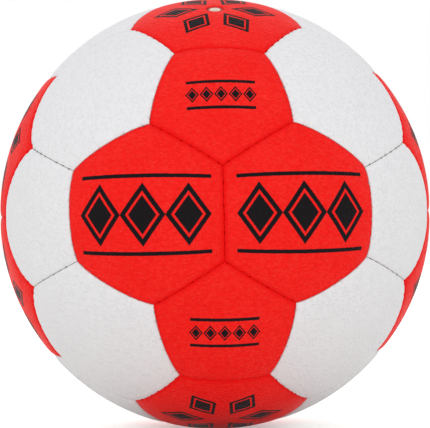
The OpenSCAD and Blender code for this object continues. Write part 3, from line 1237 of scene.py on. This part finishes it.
@dataclass(frozen=True)
class LeatherFinish:
    """Grained, coated leather with an optional black print.

    The colours are those of the open face, a painted highlight on the grain's pebble tops, a darker
    tone for its clouds and smears that is also painted shade in its creases, painted shade over the
    seam's flanks, and painted shade in the stitch nicks and down the gap. A share is how much of a
    colour its mask lays on, and a pair of numbers is the range over which the mask goes from nought
    to one, which is in mm from the seam for the seam's flanks and the gap.
    """

    name: str
    color: Color
    glint: Color
    shade: Color
    seam: Color
    nick_and_gap_shade: Color
    flank: Span
    motif: Motif = Motif.PLAIN
    ink: Color = (0.0045, 0.0025, 0.004)
    cells: float = 720.0
    blotch_scale: float = 55.0
    blotch: Span = (0.35, 0.68)
    blotch_share: float = 0.35
    glint_share: float = 0.3
    crease_shade_share: float = 0.5
    streak_share: float = 0.9
    flank_share: float = 0.85
    nick: Span = (0.3, 1.0)
    nick_share: float = 0.85
    gap: Span = (0.0, -0.4)
    roughness: Span = (0.5, 0.6)
    rough_blotch: Span = (0.3, 0.7)
    specular: float = 0.10
    bump: float = 0.8
    bump_depth: float = 0.26 * MM

    def material(self, effects: Effects) -> bpy.types.Material:
        """Build the material.

        Args:
            effects: the shared node groups.
        Returns:
            The new material.
        """
        material, g, shader = new_material(self.name)
        place = g.add("TexCoord")
        seam = g.add("Attribute", attribute_name="seam_mm").outputs["Fac"]
        nick = g.add("Attribute", attribute_name="nick").outputs["Fac"]
        grain = g.group(effects.grain, Vector=place.outputs["Object"], Cells=self.cells).outputs
        blotch = g.noise(place.outputs["Object"], self.blotch_scale, detail=3.0).outputs["Fac"]
        clouds = g.fall(blotch, *self.blotch, 0.0, self.blotch_share)
        tint = self._lay(g, clouds, (*self.color, 1), self.shade)
        # painted highlight: the pebbles' tops, in patches, are laid in a lighter colour
        tint = self._lay(g, g.math("MULTIPLY", grain["Tip"], self.glint_share), tint, self.glint)
        # painted shade in the grain's creases, along with the leather's darker tone
        tint = self._lay(g, g.math("MULTIPLY", grain["Crease"], self.crease_shade_share), tint, self.shade)
        tint = self._lay(g, g.math("MULTIPLY", grain["Streak"], self.streak_share), tint, self.shade)
        if self.motif is not Motif.PLAIN:
            ink = g.group(effects.prints[self.motif], Vector=place.outputs["UV"]).outputs["Ink"]
            tint = self._lay(g, ink, tint, self.ink)
        # painted shade along each seam: a darker band over the groove's flanks
        tint = self._lay(g, g.fall(seam, *self.flank, 0.0, self.flank_share), tint, self.seam)
        # painted shade in the stitch nicks
        tint = self._lay(g, g.fall(nick, *self.nick, 0.0, self.nick_share), tint, self.nick_and_gap_shade)
        # painted shade down the turned-in edge, in the gap between panels
        tint = self._lay(g, g.fall(seam, *self.gap), tint, self.nick_and_gap_shade)
        g.put(shader.inputs["Base Color"], tint)
        g.put(shader.inputs["Roughness"], g.fall(blotch, *self.rough_blotch, *self.roughness))
        g.put(shader.inputs["Specular IOR Level"], self.specular)
        g.relief(shader, grain["Height"], self.bump, self.bump_depth)
        return material

    @staticmethod
    def _lay(g: Graph, mask: object, under: object, color: Color) -> bpy.types.NodeSocket:
        """Lay a colour over what is under it, by a mask."""
        return g.mix(mask, under, (*color, 1))


@dataclass(frozen=True)
class HiddenFinish:
    """Cloth, thread or rubber of the pieces inside the cover: woven where it has a pitch, else mottled.

    The hollows of the weave or mottle take painted shade in cloudy patches. A pair of numbers is the
    range over which a mask goes from nought to one, or of the roughness.
    """

    color: Color
    shade: Color
    roughness: Span
    woven_pitch: float = 0.0
    mottle_scale: float = 900.0
    cloud_scale: float = 90.0
    cloud: Span = (0.3, 0.7)
    hollow: Span = (0.8, 0.2)
    bump: float = 0.6
    bump_depth: float = 0.1 * MM

    def material(self, name: str, effects: Effects) -> bpy.types.Material:
        """Build the material, with the weave or the mottle in colour and in relief.

        Args:
            name: the material's name.
            effects: the shared node groups.
        Returns:
            The new material.
        """
        material, g, shader = new_material(name)
        place = g.add("TexCoord").outputs["Object"]
        if self.woven_pitch:
            height = g.group(effects.weave, Vector=place, Pitch=self.woven_pitch).outputs["Height"]
        else:
            height = g.noise(place, self.mottle_scale, detail=4.0, roughness=0.6).outputs["Fac"]
        noise = g.noise(place, self.cloud_scale, detail=3.0).outputs["Fac"]
        # painted shade: the hollows of the weave or mottle, in cloudy patches, take the darker colour
        painted_light_patches = g.math("MULTIPLY", g.fall(noise, *self.cloud), g.fall(height, *self.hollow))
        g.put(shader.inputs["Base Color"], g.mix(painted_light_patches, (*self.color, 1), (*self.shade, 1)))
        g.put(shader.inputs["Roughness"], g.fall(noise, *self.cloud, *self.roughness))
        g.relief(shader, height, self.bump, self.bump_depth)
        return material


WHITE_LEATHER = LeatherFinish(
    "white_leather",
    color=(0.822, 0.818, 0.845),
    # painted highlight on the pebbles' tops
    glint=(0.84, 0.838, 0.862),
    # darker tone for clouds and smears, and painted shade in the grain's creases
    shade=(0.786, 0.78, 0.80),
    # painted shade along the seams
    seam=(0.52, 0.50, 0.48),
    # painted shade in the stitch nicks and the gap
    nick_and_gap_shade=(0.16, 0.14, 0.13),
    flank=(0.3, 0.1),
)
RED_LEATHER = LeatherFinish(
    "red_leather",
    color=(0.95, 0.021, 0.0145),
    # painted highlight on the pebbles' tops
    glint=(0.97, 0.049, 0.038),
    # darker tone for clouds and smears, and painted shade in the grain's creases
    shade=(0.87, 0.005, 0.0035),
    # painted shade along the seams: a deeper, darker red
    seam=(0.84, 0.001, 0.001),
    # painted shade in the stitch nicks and the gap
    nick_and_gap_shade=(0.66, 0.001, 0.001),
    flank=(2.3, 0.1),
)
HIDDEN_FINISHES = {
    "lining_cloth": HiddenFinish(
        color=(0.60, 0.53, 0.40), shade=(0.44, 0.37, 0.26), roughness=(0.79, 0.91),
        woven_pitch=0.7 * MM,
    ),
    "waxed_thread": HiddenFinish(
        color=(0.75, 0.70, 0.60), shade=(0.55, 0.49, 0.38), roughness=(0.39, 0.51),
        woven_pitch=0.35 * MM,
    ),
    "bladder_rubber": HiddenFinish(
        color=(0.03, 0.03, 0.033), shade=(0.014, 0.014, 0.016), roughness=(0.36, 0.48),
        mottle_scale=260.0,
    ),
    "valve_rubber": HiddenFinish(
        color=(0.42, 0.03, 0.025), shade=(0.30, 0.02, 0.018), roughness=(0.44, 0.56),
    ),
    "plug_rubber": HiddenFinish(
        color=(0.84, 0.72, 0.60), shade=(0.70, 0.58, 0.47), roughness=(0.44, 0.56),
    ),
}


@dataclass(frozen=True)
class Valve:
    """Rubber valve body and its plug, turned about the valve panel's axis with rounded rims.

    The flange's lower face lies on the bladder's sphere. Its upper face follows the cover, on a
    sphere of cover_r round a point cover_shift up the axis.
    """

    axis: np.ndarray
    around: int = 96
    rim: float = 0.4 * MM
    rim_steps: int = 5
    channel_r: float = 1.0 * MM
    channel_l: float = 12.0 * MM
    funnel_r: float = 1.5 * MM
    funnel_l: float = 0.8 * MM
    plug_r: float = 1.8 * MM
    head_l: float = 5.0 * MM
    neck_r: float = 3.2 * MM
    stem_r: float = 4.5 * MM
    stem_end_t: float = 1.5 * MM
    head_bore_r: float = 2.35 * MM
    head_bore_l: float = 5.05 * MM
    bore_r: float = 1.85 * MM
    air_r: float = 1.0 * MM
    bladder_r: float = 82.32 * MM
    cover_r: float = 78.42 * MM
    cover_shift: float = 5.53 * MM
    flange_steps: int = 9

    def _reach(self, node: str) -> tuple[float, float, float]:
        """Measure a node.

        Args:
            node: its name.
        Returns:
            Its lowest and highest place along the axis, and its largest radius.
        """
        mesh = bpy.data.objects[node].data
        co = np.empty(len(mesh.vertices) * 3)
        mesh.vertices.foreach_get("co", co)
        co = co.reshape(-1, 3)
        along = co @ self.axis
        out = np.linalg.norm(co - along[:, None] * self.axis, axis=1)
        return along.min(), along.max(), out.max()

    def _round(self, profile: list[tuple[float, float, bool]]) -> np.ndarray:
        """Round the marked corners of a closed profile by quadratic arcs.

        An arc's points are (1-t)^2 a + 2 t (1-t) corner + t^2 b, with a and b on the two sides at
        the rim's distance from the corner.

        Args:
            profile: radius, height and whether to round it, for each corner.
        Returns:
            Radius and height of every point.
        """
        points = np.array([p[:2] for p in profile])
        t = np.linspace(0, 1, self.rim_steps)[:, None]
        made = []
        for k, (_, _, soft) in enumerate(profile):
            here, last, coming = points[k], points[k - 1], points[(k + 1) % len(points)]
            if not soft:
                made.append(here[None])
                continue
            reach = min(self.rim, np.linalg.norm(last - here) / 2, np.linalg.norm(coming - here) / 2)
            a = here + unit(last - here) * reach
            b = here + unit(coming - here) * reach
            made.append((1 - t) ** 2 * a + 2 * t * (1 - t) * here + t**2 * b)
        return np.concatenate(made)

    def turned(self, name: str, profile: list[tuple[float, float, bool]]) -> bpy.types.Object:
        """Turn a profile about the axis: a point is radius times a circle plus height times the axis.

        Args:
            name: the object's name.
            profile: radius, height and whether to round it, for each corner.
        Returns:
            The object, in the scene.
        """
        side = unit(np.cross(self.axis, np.array([1.0, 0.0, 0.0])))
        other = np.cross(self.axis, side)
        angle = np.linspace(0, 2 * math.pi, self.around, endpoint=False)[:, None]
        circle = np.cos(angle) * side + np.sin(angle) * other
        stack = RingStack()
        outline = self._round(profile)
        for radius, height in outline:
            ring = circle * radius + self.axis * height
            stack.add(ring if radius > 0 else ring[:1])
        return stack.build(name, closed=bool(outline[0, 0] > 0))

    def plug(self) -> bpy.types.Object:
        """Make the plug: stepped head and body, with a funnel and the needle channel down its middle.

        Returns:
            The object, in the scene.
        """
        low, high, head_r = self._reach("valve_plug")
        step, throat = high - self.head_l, high - self.funnel_l
        floor = throat - self.channel_l
        return self.turned("valve_plug_turned", [
            (0, floor, False), (self.channel_r, floor, False), (self.channel_r, throat, False),
            (self.funnel_r, high, True), (head_r, high, True), (head_r, step, True),
            (self.plug_r, step, False), (self.plug_r, low, True), (0, low, False),
        ])

    def body(self) -> bpy.types.Object:
        """Make the valve body: neck, flange between bladder and cover, and the stem with its bores.

        Returns:
            The object, in the scene.
        """
        low, high, flange_r = self._reach("valve_body")
        step, floor = high - self.head_bore_l, low + self.stem_end_t
        radii = np.linspace(self.neck_r, flange_r, self.flange_steps)
        upper = self.cover_shift + np.sqrt(self.cover_r**2 - radii**2)
        lower = np.sqrt(self.bladder_r**2 - radii**2)
        root = math.sqrt(self.bladder_r**2 - self.stem_r**2)
        return self.turned("valve_body_turned", [
            (self.air_r, low, True), (self.air_r, floor, False),
            (self.bore_r, floor, False), (self.bore_r, step, False),
            (self.head_bore_r, step, False), (self.head_bore_r, high, True), (self.neck_r, high, True),
            *[(r, z, False) for r, z in zip(radii, upper)],
            *[(r, z, False) for r, z in zip(radii[::-1], lower[::-1]) if r > self.stem_r],
            (self.stem_r, root, False), (self.stem_r, low, True),
        ][::-1])


@dataclass(frozen=True)
class PhotoCamera:
    """The photograph's viewpoint: a long lens almost level with the ball's middle."""

    photo_width_px: float = 430.0
    ball_radius_px: float = 215.0
    radii_away: float = 14.29
    ball_r: float = 87.5 * MM
    sensor_mm: float = 36.0
    turn_deg: float = 2.36
    roll_deg: float = -0.91
    pitch_deg: float = -0.15

    def build(self) -> None:
        """Make the camera: the ball's turn in the photograph, undone on the camera instead."""
        data = bpy.data.cameras.new("photo_camera")
        focal_px = self.ball_radius_px * math.sqrt(self.radii_away**2 - 1)
        data.sensor_width = self.sensor_mm
        data.lens = focal_px / self.photo_width_px * self.sensor_mm
        camera = bpy.data.objects.new("photo_camera", data)
        bpy.context.scene.collection.objects.link(camera)
        turn = (
            Matrix.Rotation(math.radians(self.turn_deg), 4, "Z")
            @ Matrix.Rotation(math.radians(self.roll_deg), 4, "Y")
            @ Matrix.Rotation(math.radians(self.pitch_deg), 4, "X")
        )
        back = Matrix.Translation((0, -self.radii_away * self.ball_r, 0))
        camera.matrix_world = turn.inverted() @ back @ Matrix.Rotation(math.pi / 2, 4, "X")
        bpy.context.scene.camera = camera


@dataclass(frozen=True)
class Lamp:
    """A square soft lamp that looks at the ball."""

    name: str
    place: tuple[float, float, float]
    size: float
    power: float

    def build(self) -> None:
        """Make the lamp, with its back to the line from the ball's middle."""
        data = bpy.data.lights.new(self.name, "AREA")
        data.size = self.size
        data.energy = self.power
        lamp = bpy.data.objects.new(self.name, data)
        bpy.context.scene.collection.objects.link(lamp)
        away = unit(np.array(self.place))
        right = unit(np.cross(UP, away))
        axes = np.stack([right, np.cross(away, right), away], axis=1)
        turned = Matrix([[*row, place] for row, place in zip(axes, self.place)])
        turned.resize_4x4()
        lamp.matrix_world = turned


@dataclass(frozen=True)
class Studio:
    """Pale floor, white surroundings, a broad soft lamp above the front and a small low one."""

    floor_size: float = 12.0
    floor_shade: Color = (0.93, 0.945, 0.915)
    floor_roughness: float = 0.9
    floor_glow: float = 0.4
    surround: float = 0.93
    lamps: tuple[Lamp, ...] = (
        Lamp("key_lamp", (-0.4, -1.55, 1.65), 1.6, 2.6),
        Lamp("fill_lamp", (-0.1, -1.8, 0.14), 0.4, 2.5),
    )

    def build(self, floor_z: float) -> None:
        """Make the floor, the lamps and the world.

        Args:
            floor_z: height of the floor.
        """
        self._floor(floor_z)
        for lamp in self.lamps:
            lamp.build()
        self._world()

    def _seen(self, g: Graph) -> bpy.types.NodeSocket:
        """One for rays from the camera and for mirrored or refracted ones, else nought.

        Args:
            g: the graph to build in.
        Returns:
            The value's socket.
        """
        path = g.add("LightPath").outputs
        glossy = g.math("MAXIMUM", path["Is Camera Ray"], path["Is Glossy Ray"])
        return g.math("MAXIMUM", glossy, path["Is Transmission Ray"])

    def _floor(self, floor_z: float) -> None:
        """Make a floor that keeps the ball's shadow and shows white elsewhere.

        Args:
            floor_z: its height.
        """
        half = self.floor_size / 2
        mesh = bpy.data.meshes.new("studio_floor")
        corners = [(x * half, y * half, floor_z) for x, y in ((-1, -1), (1, -1), (1, 1), (-1, 1))]
        mesh.from_pydata(corners, [], [(0, 1, 2, 3)])
        floor = bpy.data.objects.new("studio_floor", mesh)
        bpy.context.scene.collection.objects.link(floor)
        material, g, shader = new_material("studio_floor")
        g.put(shader.inputs["Base Color"], (*self.floor_shade, 1))
        g.put(shader.inputs["Roughness"], self.floor_roughness)
        g.put(shader.inputs["Specular IOR Level"], 0.0)
        g.put(shader.inputs["Emission Color"], (1, 1, 1, 1))
        g.put(shader.inputs["Emission Strength"], g.math("MULTIPLY", self._seen(g), self.floor_glow))
        mesh.materials.append(material)
        floor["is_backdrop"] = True

    def _world(self) -> None:
        """Make the world: white to the eye, and a plain even light on the ball."""
        world = bpy.data.worlds.new("studio_world")
        world.use_nodes = True
        bpy.context.scene.world = world
        g = Graph(world.node_tree)
        background = world.node_tree.nodes["Background"]
        g.put(background.inputs["Color"], (1, 1, 1, 1))
        g.put(background.inputs["Strength"], g.fall(self._seen(g), 0.0, 1.0, self.surround, 1.0))


@dataclass
class Handball:
    """The whole ball: its cover panels, the valve and the pieces inside."""

    frame: dict
    effects: Effects = field(default_factory=Effects)
    plan: CoverPlan = field(default_factory=CoverPlan)
    skin: PanelSkin = field(default_factory=PanelSkin)

    def _bodies(self) -> dict[str, str]:
        """Body of each node, from the record."""
        groups = self.frame["record"]["behaviour"]["bodies"]
        return {node: body for body, nodes in groups.items() for node in nodes}

    def _leathers(self) -> dict[tuple[Leather, Motif], bpy.types.Material]:
        """Make the materials of the cover.

        Returns:
            The materials, by leather and print.
        """
        made = {(Leather.WHITE, Motif.PLAIN): WHITE_LEATHER.material(self.effects)}
        for motif in PRINTS:
            finish = replace(RED_LEATHER, name=f"{RED_LEATHER.name}_{motif.value}", motif=motif)
            made[Leather.RED, motif] = finish.material(self.effects)
        return made

    def dress_cover(self) -> None:
        """Make every panel's skin in the place of its node."""
        leathers = self._leathers()
        bodies = self._bodies()
        for panel in self.plan.panels(self.frame):
            skin = self.skin.build(panel)
            skin.data.materials.append(leathers[panel.leather, panel.motif])
            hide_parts(panel.name)
            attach(skin, bodies[panel.name])
            faces = len(skin.data.polygons)
            LOG.info("%s: %s, %s, %d faces", skin.name, panel.leather.value, panel.motif.value, faces)

    def dress_valve(self) -> None:
        """Turn the valve's two rubber pieces."""
        lo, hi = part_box(self.skin.valve_node)
        middle = unit(np.array(lo + hi))
        axes = self.plan.lattice.hexagons()
        valve = Valve(axes[np.argmax(axes @ middle)])
        bodies = self._bodies()
        pieces = {
            "valve_body": (valve.body(), "valve_rubber"),
            "valve_plug": (valve.plug(), "plug_rubber"),
        }
        for node, (piece, slot) in pieces.items():
            piece.data.materials.append(HIDDEN_FINISHES[slot].material(slot, self.effects))
            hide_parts(node)
            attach(piece, bodies[node])
            LOG.info("%s: %d faces", piece.name, len(piece.data.polygons))

    def dress_inside(self) -> None:
        """Give the pieces inside the cover their cloth, thread and rubber."""
        dressed = {
            "lining_cloth": ("hexagon_linings", "pentagon_linings", "valve_patch"),
            "waxed_thread": ("hexagon_seam_threads", "pentagon_seam_threads"),
            "bladder_rubber": ("bladder",),
        }
        for slot, nodes in dressed.items():
            finish = HIDDEN_FINISHES[slot].material(slot, self.effects)
            for node in nodes:
                materials = self.frame["nodes"][node].data.materials
                materials.clear()
                materials.append(finish)
                LOG.info("%s: %s", node, finish.name)


def main() -> None:
    """Load the frame, dress the ball, and set the studio and the camera."""
    logging.basicConfig(level=logging.INFO, format="%(name)s: %(message)s")
    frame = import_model()
    cad_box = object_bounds()
    ball = Handball(frame)
    ball.dress_cover()
    ball.dress_valve()
    ball.dress_inside()
    Studio().build(cad_box[0].z)
    PhotoCamera().build()
    bpy.context.scene.view_settings.view_transform = "Standard"


if __name__ == "__main__":
    main()
